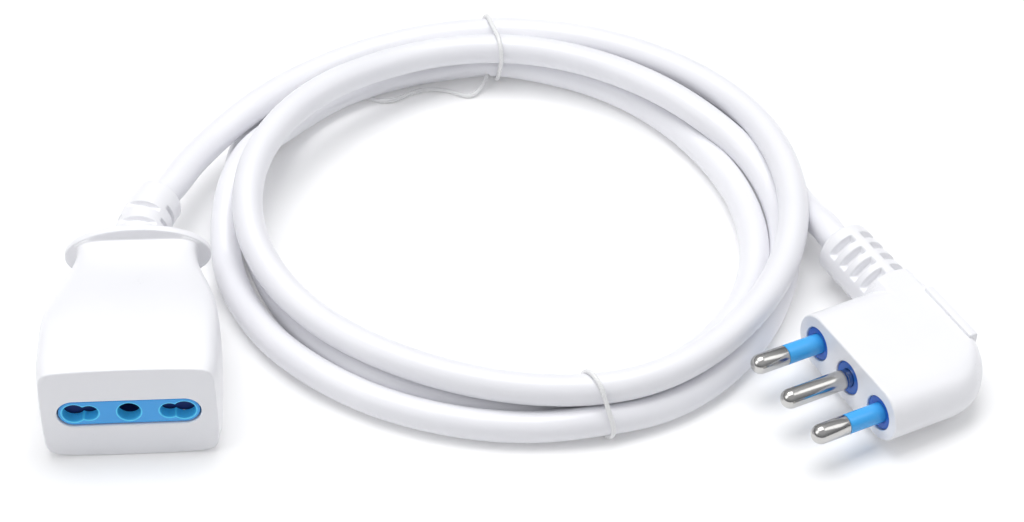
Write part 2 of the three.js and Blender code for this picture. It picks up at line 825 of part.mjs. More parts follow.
function pinSleeve(y) {
  const profile = [
    [-sleeveLength, sleeveBore / 2],
    [-sleeveLength, pinDiameter16 / 2],
    [sleeveInner, pinDiameter16 / 2],
    [sleeveInner, sleeveBore / 2],
    [-sleeveLength, sleeveBore / 2],
  ];
  return turnedX(profile, 0, y, 0);
}

function crimp(y) {
  const bore = crimpTailDiameter / 2 + 0.2;
  const profile = [
    [crimpFrontX, bore],
    [crimpFrontX, crimpDiameter / 2],
    [crimpBackX, crimpDiameter / 2],
    [crimpBackX, 0],
    [crimpBackX - 0.7, 0],
    [crimpBackX - 0.7, bore],
    [crimpFrontX, bore],
  ];
  return turnedX(profile, 0, y, 0, 16);
}

function plugCore(pinY, place) {
  const [across, z] = corePlace(place);
  const startX = crimpBackX + fitGap;
  const endX = plugReliefDepth + across;
  const endY = farY - fitGap;
  return tube(smoothPath([
    [startX, pinY, 0],
    [startX + 2, pinY, 0],
    [mix(startX + 2, endX, 0.75), mix(pinY, endY, 0.25), z * 0.8],
    [endX, mix(pinY, endY, 0.7), z],
    [endX, endY, z],
  ]), pressedCoreDiameter, 8, 14);
}

function plugRelief() {
  const slots = [];
  const radius = plugReliefDiameter / 2;
  for (let i = 0; i < 4; i++) {
    slots.push({
      along: plugReliefLength - plugSlotStart - i * plugSlotPitch,
      width: 2.2,
      bottom: cableDiameter / 2 + 0.6,
      angles: [45, 135, 225, 315],
      span: 6.6,
    });
  }
  const profile = [
    [0, 0],
    [0, radius],
    [plugReliefLength - 2.2, radius],
    [plugReliefLength - 0.7, radius - 0.7],
    [plugReliefLength, radius - 2],
    [plugReliefLength, 0],
  ];
  const boot = slottedBoot(profile, plugReliefLength, slots);
  return boot.translate(plugReliefDepth, farY + fitGap, 0);
}

function plugPieces() {
  const live = rowWidth16 / 2;
  const group = new THREE.Group();
  group.add(
    mesh('plug_housing', plugHousing(), whiteVinyl),
    mesh('pin_bridge', pinBridge(), blueInsert),
    mesh('pin_line', sleevedPin(live), nickel),
    mesh('pin_earth', earthPin(), nickel),
    mesh('pin_neutral', sleevedPin(-live), nickel),
    mesh('pin_sleeve_line', pinSleeve(live), blueSleeve),
    mesh('pin_sleeve_neutral', pinSleeve(-live), blueSleeve),
    mesh('crimp_line', crimp(live), brass),
    mesh('crimp_earth', crimp(0), brass),
    mesh('crimp_neutral', crimp(-live), brass),
    mesh('plug_core_brown', plugCore(live, 1), brownCore),
    mesh('plug_core_earth', plugCore(0, 0), earthCore),
    mesh('plug_core_blue', plugCore(-live, 2), blueCore),
    mesh('plug_strain_relief', plugRelief(), whiteVinyl),
  );
  group.position.copy(plugPosition);
  group.rotation.order = 'ZYX';
  group.rotation.set(
    THREE.MathUtils.degToRad(plugRoll),
    THREE.MathUtils.degToRad(plugPitch),
    THREE.MathUtils.degToRad(plugYaw),
  );
  return group;
}

// ---------------------------------------------------------------- the whole object

const extensionCord = new THREE.Group();
extensionCord.add(...socketPieces());
extensionCord.add(...cablePieces());
extensionCord.add(plugPieces());

export default extensionCord;
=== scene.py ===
"""An extension cord on a pale floor: its fine surfaces, finishes, lights and camera.

Lengths are in millimetres inside this script and turn into metres where a mesh is made.
"""

import json
import math

import bmesh
import bpy
import numpy as np
from mathutils import Matrix, Vector

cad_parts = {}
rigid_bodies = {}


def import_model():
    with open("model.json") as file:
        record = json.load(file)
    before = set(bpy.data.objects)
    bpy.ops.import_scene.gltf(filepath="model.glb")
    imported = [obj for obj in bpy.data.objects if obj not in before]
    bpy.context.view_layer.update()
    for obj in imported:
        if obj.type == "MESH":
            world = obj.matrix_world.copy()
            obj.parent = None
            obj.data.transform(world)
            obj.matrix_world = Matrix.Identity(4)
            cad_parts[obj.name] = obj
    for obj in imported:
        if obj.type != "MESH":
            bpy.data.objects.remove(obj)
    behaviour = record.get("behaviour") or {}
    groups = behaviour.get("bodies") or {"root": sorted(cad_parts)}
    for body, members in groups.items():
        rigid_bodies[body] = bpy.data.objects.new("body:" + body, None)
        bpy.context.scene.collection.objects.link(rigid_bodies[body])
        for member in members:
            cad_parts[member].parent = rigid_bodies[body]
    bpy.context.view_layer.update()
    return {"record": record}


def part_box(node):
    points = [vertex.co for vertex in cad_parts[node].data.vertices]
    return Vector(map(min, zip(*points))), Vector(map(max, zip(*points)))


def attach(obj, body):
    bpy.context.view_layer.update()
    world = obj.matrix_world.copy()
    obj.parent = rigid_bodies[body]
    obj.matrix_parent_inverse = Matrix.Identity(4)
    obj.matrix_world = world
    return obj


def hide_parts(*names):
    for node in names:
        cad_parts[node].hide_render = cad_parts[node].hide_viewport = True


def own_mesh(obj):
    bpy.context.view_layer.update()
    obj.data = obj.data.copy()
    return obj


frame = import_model()

MM = 0.001
TAU = 2 * math.pi
CORD = "cord"  # the body that everything but the shutter belongs to

# ---------------------------------------------------------------- sizes, in millimetres

CABLE_RADIUS = 3.9
TIE_RADIUS = 0.6

SOCKET_LENGTH = 57.0
SOCKET_FACE_Y = -28.5
SOCKET_AXIS_Z = 14.2
SPRING_WIRE_RADIUS = 0.2
SPRING_TURNS = 4
SOCKET_RELIEF = {"length": 19.8, "base": 6.9, "end": 6.3, "bend": 29.0}

PLUG_ORIGIN = (171.9, -20.6, 9.92)
PLUG_TURN = {"yaw": 27.1, "pitch": 4.6, "roll": 2.2}
PLUG_DEPTH = 33.2
PLUG_HALF_WIDTH = 20.3
PLUG_HALF_THICKNESS = 7.2
PLUG_CORNER = 15.0
PIN_SPACING = 13.0
PIN_RADIUS = 2.5
PIN_LENGTH = 19.0
SLEEVE_LENGTH = 9.3
COLLAR_RADIUS = 4.3
COLLAR_RECESS = 0.4
PLUG_RELIEF_X = 26.4
PLUG_RELIEF_LENGTH = 20.0
PLUG_RELIEF_RADIUS = 7.35


# ---------------------------------------------------------------- the cable's route

# From the socket's strain relief towards the coil.
SOCKET_LEAD = [
    (4.95, 48.0, 14.2),
    (6.15, 50.2, 14.1),
    (8.7, 54.8, 13.9),
    (11.5, 61.0, 13.6),
    (15.0, 67.4, 13.1),
    (17.9, 72.1, 12.8),
    (20.5, 75.8, 12.7),
]

# From the coil to the plug's strain relief.
PLUG_LEAD = [
    (170.5, 46.6, 5.2),
    (172.0, 41.8, 6.6),
    (173.0, 38.0, 7.9),
    (174.0, 34.9, 8.9),
    (174.5, 32.9, 9.3),
    (175.3, 30.4, 9.5),
    (176.65, 27.75, 9.4),
]

COIL_CENTRE = (93.0, 43.5)

# How the turns lie: angle round the coil, distance from its centre, height of the cable's axis.
# The cable winds clockwise, so the angle falls by 360 with each turn.
COIL_LAY = [
    # the top turn, on two others
    (149, 77.2, 13.0), (133, 74.5, 12.1), (118, 72.9, 11.8), (86, 71.9, 11.6), (55, 72.2, 11.8),
    (23, 74.0, 12.0), (-10, 73.0, 12.0), (-40, 71.9, 11.8), (-66, 70.9, 11.7), (-92, 65.2, 11.6),
    (-120, 61.7, 11.7), (-146, 62.7, 11.8), (-171, 65.6, 15.2),
    # over the crossing of the turns below, then down to the floor
    (-187, 65.5, 17.9), (-202, 64.2, 18.6), (-220, 62.8, 17.8), (-239, 63.1, 14.8),
    (-257, 64.3, 12.6), (-275, 64.1, 11.9), (-308, 62.3, 11.8), (-324, 63.2, 11.4),
    (-331, 65.1, 9.9), (-339, 67.9, 7.6), (-354, 70.4, 5.2), (-371, 71.6, 4.1),
    # the outer turn, on the floor
    (-396, 73.3, 3.9), (-418, 74.6, 3.9), (-452, 71.0, 3.9), (-480, 69.8, 3.9),
    (-506, 70.9, 3.9), (-533, 72.0, 4.1),
    # a hump over the last turn, then the inner turn on the floor
    (-542, 71.8, 7.6), (-549, 71.2, 10.7), (-556, 70.6, 11.6), (-563, 70.2, 10.6),
    (-571, 70.1, 7.8), (-580, 70.7, 4.9), (-590, 70.9, 3.9), (-603, 69.7, 3.9),
    (-633, 67.1, 3.9), (-666, 62.8, 3.9), (-690, 61.0, 3.9), (-711, 62.0, 3.9),
    (-739, 64.7, 3.9), (-769, 65.6, 3.9), (-799, 64.9, 3.9), (-826, 62.4, 3.9),
    (-854, 62.0, 3.9), (-880, 62.6, 3.9), (-895, 64.0, 3.9),
    # outwards under the other turns to the plug
    (-905, 66.8, 3.9), (-914, 70.8, 3.9), (-925, 75.4, 3.9), (-937, 78.0, 3.9),
    (-962, 77.6, 3.9), (-993, 75.1, 3.9), (-1025, 72.6, 3.9), (-1050, 73.4, 3.9),
    (-1065, 74.9, 3.9), (-1073, 76.1, 4.2),
]

TIE_FRONT_ANGLE = -75.5
TIE_BACK_ANGLE = 90.3
TIE_LIFT = 0.9  # a turn that lies on a tie's wire is raised by this much
TIE_LIFT_SPREAD = 9.0  # degrees over which it comes down again


def on_coil(angle, radius, height):
    turn = math.radians(angle)
    x = COIL_CENTRE[0] + radius * math.cos(turn)
    y = COIL_CENTRE[1] + radius * math.sin(turn)
    return np.array((x, y, height))


def smooth_line(points, step):
    """A natural cubic spline through the points, as points about a step apart."""
    points = np.array(points, dtype=float)
    gaps = np.linalg.norm(np.diff(points, axis=0), axis=1)
    along = np.concatenate(([0.0], np.cumsum(gaps)))
    count = len(points)
    matrix = np.eye(count)
    wanted = np.zeros((count, 3))
    for i in range(1, count - 1):
        before, after = gaps[i - 1], gaps[i]
        matrix[i, i - 1:i + 2] = before, 2 * (before + after), after
        slope_change = (points[i + 1] - points[i]) / after - (points[i] - points[i - 1]) / before
        wanted[i] = 6 * slope_change
    bends = np.linalg.solve(matrix, wanted)
    places = np.linspace(0, along[-1], int(along[-1] / step) + 1)
    left = np.clip(np.searchsorted(along, places, side="right") - 1, 0, count - 2)
    span = gaps[left]
    a = (along[left + 1] - places) / span
    b = (places - along[left]) / span
    line = a[:, None] * points[left] + b[:, None] * points[left + 1]
    line += ((a**3 - a) * span**2 / 6)[:, None] * bends[left]
    line += ((b**3 - b) * span**2 / 6)[:, None] * bends[left + 1]
    return line


def cable_route():
    turns = [on_coil(*lay) for lay in COIL_LAY]
    first = np.array(SOCKET_LEAD[0])
    into_socket = first - 6 * (np.array(SOCKET_LEAD[1]) - first) / 2.4
    last = np.array(PLUG_LEAD[-1])
    into_plug = last + 6 * (last - np.array(PLUG_LEAD[-2])) / 3.0
    line = smooth_line([into_socket, *SOCKET_LEAD, *turns, *PLUG_LEAD, into_plug], 1.6)
    line[:, 2] = np.maximum(line[:, 2], CABLE_RADIUS)
    angle = np.degrees(np.arctan2(line[:, 1] - COIL_CENTRE[1], line[:, 0] - COIL_CENTRE[0]))
    low = np.clip((8.0 - line[:, 2]) / 2.0, 0, 1)
    for tie in (TIE_FRONT_ANGLE, TIE_BACK_ANGLE):
        line[:, 2] += TIE_LIFT * low * np.exp(-(((angle - tie) / TIE_LIFT_SPREAD) ** 2))
    return line


# ---------------------------------------------------------------- mesh tools

def smoothstep(t):
    t = np.clip(t, 0.0, 1.0)
    return t * t * (3 - 2 * t)


def mix(a, b, t):
    return a + (b - a) * t


def piece_from_mesh(name, mesh, matrix=None):
    """An object in metres from a mesh in millimetres, at the place the matrix gives."""
    if matrix is not None:
        mesh.transform(matrix)
    mesh.transform(Matrix.Scale(MM, 4))
    mesh.shade_smooth()
    piece = bpy.data.objects.new(name, mesh)
    bpy.context.scene.collection.objects.link(piece)
    return piece


def skin(name, rings, matrix=None, closed=False, caps=True):
    """A surface through rings of equally many points."""
    rings = np.array(rings, dtype=float)
    rows, count = rings.shape[:2]
    points = rings.reshape(-1, 3)
    faces = []
    for i in range(rows if closed else rows - 1):
        here, there = i * count, ((i + 1) % rows) * count
        for j in range(count):
            k = (j + 1) % count
            faces.append((here + j, here + k, there + k, there + j))
    if caps and not closed:
        faces.append(tuple(range(count))[::-1])
        faces.append(tuple(range((rows - 1) * count, rows * count)))
    mesh = bpy.data.meshes.new(name)
    mesh.from_pydata(points.tolist(), [], faces)
    outwards(mesh)
    return piece_from_mesh(name, mesh, matrix)


def outwards(mesh):
    work = bmesh.new()
    work.from_mesh(mesh)
    bmesh.ops.remove_doubles(work, verts=work.verts, dist=1e-5)
    bmesh.ops.recalc_face_normals(work, faces=work.faces)
    work.to_mesh(mesh)
    work.free()


def tube_rings(line, radius, sides, closed=False):
    """Rings square to a line, carried along it without twist."""
    line = np.array(line, dtype=float)
    if closed:
        ahead = np.roll(line, -1, axis=0) - np.roll(line, 1, axis=0)
    else:
        ahead = np.gradient(line, axis=0)
    ahead /= np.linalg.norm(ahead, axis=1)[:, None]
    up = np.array((0.0, 0.0, 1.0))
    if abs(ahead[0] @ up) > 0.9:
        up = np.array((1.0, 0.0, 0.0))
    side = np.cross(ahead[0], up)
    side /= np.linalg.norm(side)
    angles = np.arange(sides) * TAU / sides
    radii = np.broadcast_to(radius, len(line))
    rings = []
    for place, direction, size in zip(line, ahead, radii):
        side = side - direction * (side @ direction)
        side /= np.linalg.norm(side)
        other = np.cross(direction, side)
        circle = np.cos(angles)[:, None] * side + np.sin(angles)[:, None] * other
        rings.append(place + size * circle)
    return rings


def turned(name, profile, sides, matrix, closed=False):
    """A piece turned about the x axis: the profile gives distance along it and radius."""
    angles = np.arange(sides) * TAU / sides
    rings = []
    for along, radius in profile:
        ring = [(along, radius * math.cos(a), radius * math.sin(a)) for a in angles]
        rings.append(ring)
    return skin(name, rings, matrix, closed=closed, caps=not closed)


def add_modifier(piece, kind, **settings):
    modifier = piece.modifiers.new(kind.lower(), kind)
    for key, value in settings.items():
        setattr(modifier, key, value)
    return modifier


def cut_away(piece, cutters):
    """Takes the cutters' shapes out of the piece for good."""
    for cutter in cutters:
        add_modifier(piece, "BOOLEAN", operation="DIFFERENCE", object=cutter, solver="EXACT")
    bake_modifiers(piece)
    for cutter in cutters:
        bpy.data.objects.remove(cutter, do_unlink=True)


def bake_modifiers(piece):
    bpy.context.view_layer.update()
    graph = bpy.context.evaluated_depsgraph_get()
    mesh = bpy.data.meshes.new_from_object(piece.evaluated_get(graph))
    piece.modifiers.clear()
    piece.data = mesh


def soften(piece, width, angle=40.0, segments=3):
    """Rounds the piece's sharp edges and keeps its flat faces flat to the eye."""
    add_modifier(piece, "BEVEL", width=width * MM, segments=segments, limit_method="ANGLE",
                 angle_limit=math.radians(angle), harden_normals=False)
    add_modifier(piece, "WEIGHTED_NORMAL", keep_sharp=True, weight=60)
    bake_modifiers(piece)


def belongs(piece, finish, *nodes, body=CORD):
    """Gives a piece its finish and its body, and hides the solids that it stands for."""
    piece.data.materials.clear()
    piece.data.materials.append(finish)
    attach(piece, body)
    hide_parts(*nodes)
    return piece


# ---------------------------------------------------------------- finishes

class Wire:
    """An output of a shader node, used like a number in an expression."""

    def __init__(self, finish, socket):
        self.finish = finish
        self.socket = socket

    def _with(self, operation, first, second):
        return self.finish.node("ShaderNodeMath", {"operation": operation}, {0: first, 1: second})

    def __add__(self, other):
        return self._with("ADD", self, other)

    def __radd__(self, other):
        return self._with("ADD", other, self)

    def __sub__(self, other):
        return self._with("SUBTRACT", self, other)

    def __rsub__(self, other):
        return self._with("SUBTRACT", other, self)

    def __mul__(self, other):
        return self._with("MULTIPLY", self, other)

    def __rmul__(self, other):
        return self._with("MULTIPLY", other, self)

    def __pow__(self, other):
        return self._with("POWER", self, other)

    def most(self, other):
        """The larger of two numbers."""
        return self._with("MAXIMUM", self, other)


class Finish:
    """A material with one glossy or metal surface and the maps that vary it."""

    def __init__(self, name, slot, **constants):
        self.material = bpy.data.materials.new(name)
        self.material.use_nodes = True
        self.tree = self.material.node_tree
        self.tree.nodes.clear()
        self.surface = self.tree.nodes.new("ShaderNodeBsdfPrincipled")
        output = self.tree.nodes.new("ShaderNodeOutputMaterial")
        self.tree.links.new(self.surface.outputs[0], output.inputs[0])
        self.slot = slot
        for socket, value in constants.items():
            self.surface.inputs[socket.replace("_", " ")].default_value = value

    def node(self, kind, settings=None, inputs=None, output=0):
        node = self.tree.nodes.new(kind)
        for key, value in (settings or {}).items():
            setattr(node, key, value)
        for key, value in (inputs or {}).items():
            self._feed(node.inputs[key], value)
        return Wire(self, node.outputs[output])

    def _feed(self, socket, value):
        if isinstance(value, Wire):
            self.tree.links.new(value.socket, socket)
        else:
            socket.default_value = value

    def set(self, **maps):
        for socket, value in maps.items():
            self._feed(self.surface.inputs[socket.replace("_", " ")], value)

    def place(self):
        return self.node("ShaderNodeTexCoord", output="Object")

    def noise(self, scale, detail=2.0, roughness=0.5, place=None):
        inputs = {"Vector": place or self.place(), "Scale": scale, "Detail": detail, "Roughness": roughness}
        return self.node("ShaderNodeTexNoise", inputs=inputs)

    def between(self, low, high, amount):
        """A colour between two, by a number from 0 to 1."""
        settings = {"data_type": "RGBA"}
        low, high = ((*side, 1.0) if isinstance(side, tuple) else side for side in (low, high))
        return self.node("ShaderNodeMix", settings, {0: amount, 6: low, 7: high}, output=2)

    def stretched(self, factors):
        settings = {"operation": "MULTIPLY"}
        return self.node("ShaderNodeVectorMath", settings, {0: self.place(), 1: factors})

    def bump(self, height, distance, strength=1.0):
        inputs = {"Height": height, "Distance": distance * MM, "Strength": strength}
        return self.node("ShaderNodeBump", inputs=inputs)


def moulded(name, slot, light, dark, gloss, grain, **constants):
    """Moulded plastic: faint mottling, uneven gloss, and a very fine eggshell grain."""
    finish = Finish(name, slot, **constants)
    cloud = finish.noise(70.0, detail=3.0)
    fine = finish.noise(2600.0, detail=2.0)
    finish.set(
        Base_Color=finish.between(dark, light, 0.35 + 0.65 * cloud),
        Roughness=gloss + 0.14 * (cloud - 0.5) + 0.08 * (fine - 0.5),
        Normal=finish.bump(0.5 * fine + 1.2 * cloud, grain),
    )
    return finish.material


def polished(name, slot, light, dark, gloss, grain, **constants):
    """Plated or rolled metal: bright, with hairline scratches and a few dull patches."""
    finish = Finish(name, slot, Metallic=1.0, **constants)
    patches = finish.noise(160.0, detail=4.0)
    hairs = finish.noise(1.0, detail=3.0, place=finish.stretched((900.0, 3500.0, 5200.0)))
    finish.set(
        Base_Color=finish.between(dark, light, 0.3 + 0.7 * patches),
        Roughness=gloss + 0.16 * (patches - 0.45) ** 2.0 + 0.06 * hairs,
        Normal=finish.bump(hairs, grain),
    )
    return finish.material


def cable_jacket():
    """Soft extruded vinyl, a little wavy where the cores press through, with a dusty bloom."""
    finish = Finish("cable_jacket", "cable_jacket", Coat_Weight=0.12, Coat_Roughness=0.22)
    waves = finish.noise(55.0, detail=1.0)
    drag = finish.noise(420.0, detail=2.0)
    fine = finish.noise(3200.0, detail=2.0)
    finish.set(
        Base_Color=finish.between((0.80, 0.80, 0.845), (0.885, 0.885, 0.915), 0.3 + 0.7 * waves),
        Roughness=0.36 + 0.12 * (drag - 0.5) + 0.08 * (fine - 0.5),
        Normal=finish.bump(2.4 * waves + 0.5 * drag + 0.25 * fine, 0.05),
    )
    return finish.material


def insert_finish():
    """Blue plastic, with painted light round the pin holes: their walls and rims are coloured paler and made to glow,
    standing in for the light that falls on them.
    """
    finish = Finish("blue_insert", "blue_plastic")
    cloud = finish.noise(90.0, detail=3.0)
    fine = finish.noise(2600.0, detail=2.0)
    across = finish.node("ShaderNodeSeparateXYZ", inputs={0: finish.place()}, output=0)
    up = finish.node("ShaderNodeSeparateXYZ", inputs={0: finish.place()}, output=2) - SOCKET_AXIS_Z * MM
    # painted light: a mask round each pin hole, where the walls and rims get a paler colour and a glow in place of
    # the light falling on them
    painted_light_rim = None
    for hole, radius in ((0.0, 2.75), (13.0, 2.75), (9.5, 2.25), (-13.0, 2.75), (-9.5, 2.25)):
        reach = ((across - hole * MM) ** 2.0 + up ** 2.0) ** 0.5
        edge = finish.node("ShaderNodeMapRange", {"interpolation_type": "SMOOTHSTEP"},
                           {"Value": reach, "From Min": (radius + 0.42) * MM, "From Max": (radius + 0.24) * MM})
        wall = finish.node("ShaderNodeMapRange", {"interpolation_type": "SMOOTHSTEP"},
                           {"Value": reach, "From Min": (radius + 0.16) * MM, "From Max": (radius + 0.04) * MM})
        near = edge - 0.55 * wall
        painted_light_rim = near if painted_light_rim is None else painted_light_rim.most(near)
    body = finish.between((0.045, 0.36, 0.84), (0.055, 0.42, 0.93), 0.3 + 0.7 * cloud)
    finish.set(
        # painted highlight: the holes' walls and rims turn pale cyan
        Base_Color=finish.between(body, (0.10, 0.62, 0.90), painted_light_rim),
        Roughness=0.33 + 0.1 * (cloud - 0.5) + 0.08 * (fine - 0.5),
        # painted glow: the holes' walls and rims give off light, though the plastic is no lamp
        Emission_Color=finish.between((0.0, 0.0, 0.0), (0.03, 0.30, 0.46), painted_light_rim),
        Normal=finish.bump(0.5 * fine + 1.2 * cloud, 0.015),
    )
    # strength of the painted glow round the pin holes
    finish.surface.inputs["Emission Strength"].default_value = 0.4
    return finish.material


def all_finishes():
    white = moulded("white_vinyl", "white_plastic", (0.90, 0.90, 0.925), (0.845, 0.845, 0.88), 0.31, 0.02,
                    Coat_Weight=0.15, Coat_Roughness=0.2)
    return {
        "white_plastic": white,
        "cable_jacket": cable_jacket(),
        "blue_plastic": insert_finish(),
        "collar_blue": moulded("collar_blue", "blue_plastic", (0.012, 0.13, 0.56), (0.008, 0.10, 0.46), 0.34, 0.015),
        "blue_sleeve": moulded("blue_sleeve", "blue_sleeve", (0.065, 0.44, 0.92), (0.05, 0.37, 0.84), 0.24, 0.012),
        "navy_plastic": moulded("navy_shutter", "navy_plastic", (0.035, 0.045, 0.19), (0.022, 0.03, 0.13), 0.5, 0.02),
        "tie_plastic": moulded("tie_plastic", "tie_plastic", (0.86, 0.86, 0.86), (0.78, 0.78, 0.79), 0.28, 0.02),
        "nickel": polished("nickel", "nickel", (0.66, 0.65, 0.63), (0.46, 0.455, 0.45), 0.15, 0.004),
        "brass": polished("brass", "brass", (0.80, 0.60, 0.25), (0.60, 0.42, 0.15), 0.28, 0.01),
        "spring_steel": polished("spring_steel", "spring_steel", (0.62, 0.62, 0.64), (0.4, 0.4, 0.42), 0.25, 0.01),
        "brown_core": moulded("brown_core", "brown_core", (0.24, 0.10, 0.04), (0.17, 0.07, 0.03), 0.45, 0.03),
        "blue_core": moulded("blue_core", "blue_core", (0.04, 0.17, 0.52), (0.03, 0.12, 0.42), 0.45, 0.03),
        "earth_core": moulded("earth_core", "earth_core", (0.50, 0.56, 0.06), (0.08, 0.34, 0.08), 0.45, 0.03),
    }


FINISHES = all_finishes()


def finish_solids():
    """Every solid that stays in sight or inside gets its own slot's finish."""
    for part in frame["record"]["subparts"]:
        solid = bpy.data.objects[part["node"]]
        finish = FINISHES[part["material_slot"]]
        for slot in solid.material_slots:
            slot.material = finish


# ---------------------------------------------------------------- camera, floor and lights

def make_camera():
    data = bpy.data.cameras.new("camera")
    data.sensor_width = 36.0
    data.lens = 105.47
    data.clip_start = 0.01
    camera = bpy.data.objects.new("camera", data)
    camera.location = (0.06117, -0.52985, 0.51983)
    camera.rotation_euler = [math.radians(a) for a in (47.452, -0.270, -3.077)]
    bpy.context.scene.collection.objects.link(camera)
    bpy.context.scene.camera = camera


def make_floor():
    mesh = bpy.data.meshes.new("floor")
    half = 3.0
    mesh.from_pydata([(-half, -half, 0), (half, -half, 0), (half, half, 0), (-half, half, 0)], [], [(0, 1, 2, 3)])
    floor = bpy.data.objects.new("floor", mesh)
    bpy.context.scene.collection.objects.link(floor)
    finish = Finish("floor", None, Roughness=0.9, Specular_IOR_Level=0.1, Emission_Strength=0.13)
    finish.surface.inputs["Emission Color"].default_value = (1, 1, 1, 1)
    cloud = finish.noise(3.0)
    finish.set(Base_Color=finish.between((0.83, 0.83, 0.835), (0.845, 0.845, 0.85), cloud))
    mesh.materials.append(finish.material)


def area_light(name, place, target, size, power, colour=(1, 1, 1)):
    data = bpy.data.lights.new(name, "AREA")
    data.shape = "RECTANGLE"
    data.size, data.size_y = size
    data.energy = power
    data.color = colour
    light = bpy.data.objects.new(name, data)
    light.location = place
    direction = Vector(target) - Vector(place)
    light.rotation_euler = direction.to_track_quat("-Z", "Y").to_euler()
    bpy.context.scene.collection.objects.link(light)


def make_light():
    world = bpy.data.worlds.new("studio")
    world.use_nodes = True
    tree = world.node_tree
    background = tree.nodes["Background"]
    background.inputs["Strength"].default_value = 0.5
    # a room that is bright above and dim towards its walls
    place = tree.nodes.new("ShaderNodeTexCoord")
    parts = tree.nodes.new("ShaderNodeSeparateXYZ")
    fade = tree.nodes.new("ShaderNodeMapRange")
    fade.inputs["From Max"].default_value = 0.7
    shades = tree.nodes.new("ShaderNodeMix")
    shades.data_type = "RGBA"
    shades.inputs[6].default_value = (0.20, 0.21, 0.23, 1)
    shades.inputs[7].default_value = (0.97, 0.98, 1.0, 1)
    tree.links.new(place.outputs["Generated"], parts.inputs[0])
    tree.links.new(parts.outputs[2], fade.inputs["Value"])
    tree.links.new(fade.outputs["Result"], shades.inputs[0])
    tree.links.new(shades.outputs[2], background.inputs["Color"])
    bpy.context.scene.world = world
    middle = (0.09, 0.03, 0.0)
    area_light("overhead", (0.02, 0.25, 1.3), middle, (1.1, 0.8), 12.2)
    area_light("left_softbox", (-0.9, -0.3, 0.9), middle, (0.7, 0.9), 3.0)
    area_light("right_softbox", (1.0, 0.1, 0.8), middle, (0.5, 0.8), 1.6)
    bpy.context.scene.view_settings.view_transform = "Standard"


# ---------------------------------------------------------------- cable and ties

def make_cable(route):
    cable = skin("cable", tube_rings(route, CABLE_RADIUS, 32))
    return belongs(cable, FINISHES["cable_jacket"], "cable_socket_lead", "cable_coil", "cable_plug_lead")


def turns_at(route, angle):
    """Where the turns cross a radial plane: distance from the coil's centre and height."""
    spokes = route[:, :2] - np.array(COIL_CENTRE)
    turned_by = np.unwrap(np.arctan2(spokes[:, 1], spokes[:, 0]))
    reach = np.linalg.norm(spokes, axis=1)
    found = []
    for turn in range(-5, 2):
        offset = turned_by - math.radians(angle) - turn * TAU
        for i in np.flatnonzero(np.diff(np.sign(offset))):
            if 50 < reach[i] < 85:
                share = offset[i] / (offset[i] - offset[i + 1])
                found.append((mix(reach[i], reach[i + 1], share), mix(route[i, 2], route[i + 1, 2], share)))
    return found


def outline_round(turns, margin):
    """The convex outline round the turns, as (distance, height) points."""
    points = []
    for reach, height in turns:
        for a in np.arange(28) * TAU / 28:
            radius = CABLE_RADIUS + margin
            points.append((reach + radius * math.cos(a), height + radius * math.sin(a)))
    points = sorted(set(points))
    halves = []
    for ordered in (points, points[::-1]):
        half = []
        for point in ordered:
            while len(half) > 1 and turns_right(half[-2], half[-1], point):
                half.pop()
            half.append(point)
        halves.append(half[:-1])
    return halves[0] + halves[1]


def turns_right(a, b, c):
    return (b[0] - a[0]) * (c[1] - a[1]) - (b[1] - a[1]) * (c[0] - a[0]) <= 0


def tie_loop(route, angle, slant):
    """A wire pulled tight round the turns at an angle, leaning by slant degrees per millimetre."""
    outline = outline_round(turns_at(route, angle), TIE_RADIUS)
    middle = sum(reach for reach, _ in outline) / len(outline)
    line = []
    for reach, height in outline:
        place = on_coil(angle + slant * (reach - middle), reach, max(height, TIE_RADIUS))
        line.append(place)
    return line


def make_ties(route):
    white = FINISHES["tie_plastic"]
    for name, angle, slant in (("tie_front", TIE_FRONT_ANGLE, 0.22), ("tie_back", TIE_BACK_ANGLE, 0.2)):
        loop = tie_loop(route, angle, slant)
        wire = skin(name + "_wire", tube_rings(loop, TIE_RADIUS, 12, closed=True), closed=True)
        belongs(wire, white, name)
    tail = smooth_line([
        (91.2, 107.6, 3.2),
        (89.4, 104.6, 1.6),
        (86.3, 101.8, 0.8),
        (81.5, 103.6, 0.7),
        (75.8, 104.9, 0.8),
        (70.6, 103.8, 0.8),
        (66.0, 101.2, 0.7),
        (62.2, 100.7, 0.7),
        (58.0, 102.2, 0.8),
        (55.2, 103.2, 0.9),
    ], 0.8)
    belongs(skin("tie_back_end", tube_rings(tail, TIE_RADIUS, 10)), white, "tie_back_tail")


# ---------------------------------------------------------------- socket

RING_POINTS = 160


def even_quarters(curve):
    """Points round an outline with four like quarters, evenly spaced in each quarter."""
    fine = np.array([curve(t) for t in np.linspace(0, math.pi / 2, 400)])
    gaps = np.linalg.norm(np.diff(fine, axis=0), axis=1)
    along = np.concatenate(([0.0], np.cumsum(gaps)))
    places = np.linspace(0, along[-1], RING_POINTS // 4 + 1)[:-1]
    x = np.interp(places, along, fine[:, 0])
    z = np.interp(places, along, fine[:, 1])
    quarter = np.stack((x, z), axis=1)
    corner_end = np.array((fine[-1, 0], fine[-1, 1]))
    mirrored = np.concatenate(([corner_end], quarter[1:][::-1])) * (1, -1)
    half = np.concatenate((quarter, mirrored))
    return np.concatenate((half, -half))


def bowed_rectangle(half_width, half_height, squareness):
    def curve(t):
        u = math.sin(t) ** (2 / squareness)
        v = abs(math.cos(t)) ** (2 / squareness)
        return half_width * u * (1 - 0.025 * v * v), half_height * v * (1 - 0.05 * u * u)
    return even_quarters(curve)


